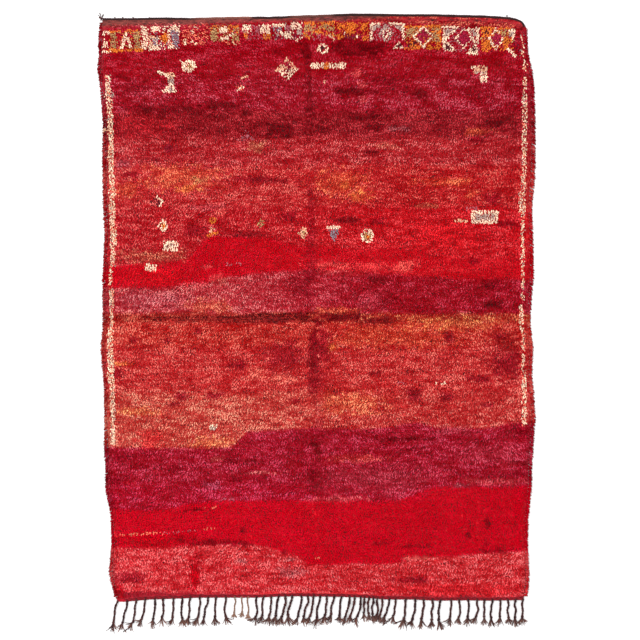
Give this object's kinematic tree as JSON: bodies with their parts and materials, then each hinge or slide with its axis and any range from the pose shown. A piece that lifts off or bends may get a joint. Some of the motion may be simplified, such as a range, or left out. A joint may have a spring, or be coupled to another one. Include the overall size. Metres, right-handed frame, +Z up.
{
  "type": "beni mguild rug",
  "caption": "Flat hand-knotted wool pile rug with shaggy sides, a plaited cord and corner tassel at one end and a knotted warp fringe at the other, laid on a floor to cover it.",
  "frame": {"origin": "under the middle of the whole rug, on the plane of its underside", "axes": "+X across the rug to the right and +Y along it to the end with the plaited cord, seen from above; +Z up through the pile"},
  "size_m": [1.9522, 2.7616, 0.0233],
  "materials": {
    "pile_wool": "matt crimson and scarlet hand-spun wool pile, mottled",
    "cord_wool": "dark brown plaited wool",
    "warp_wool": "dark brown twisted and knotted wool warps"
  },
  "bodies": {
    "root": {"rug_body": "pile_wool", "top_cord": "cord_wool", "corner_tassel": "cord_wool", "fringe": "warp_wool"}
  },
  "joints": []
}
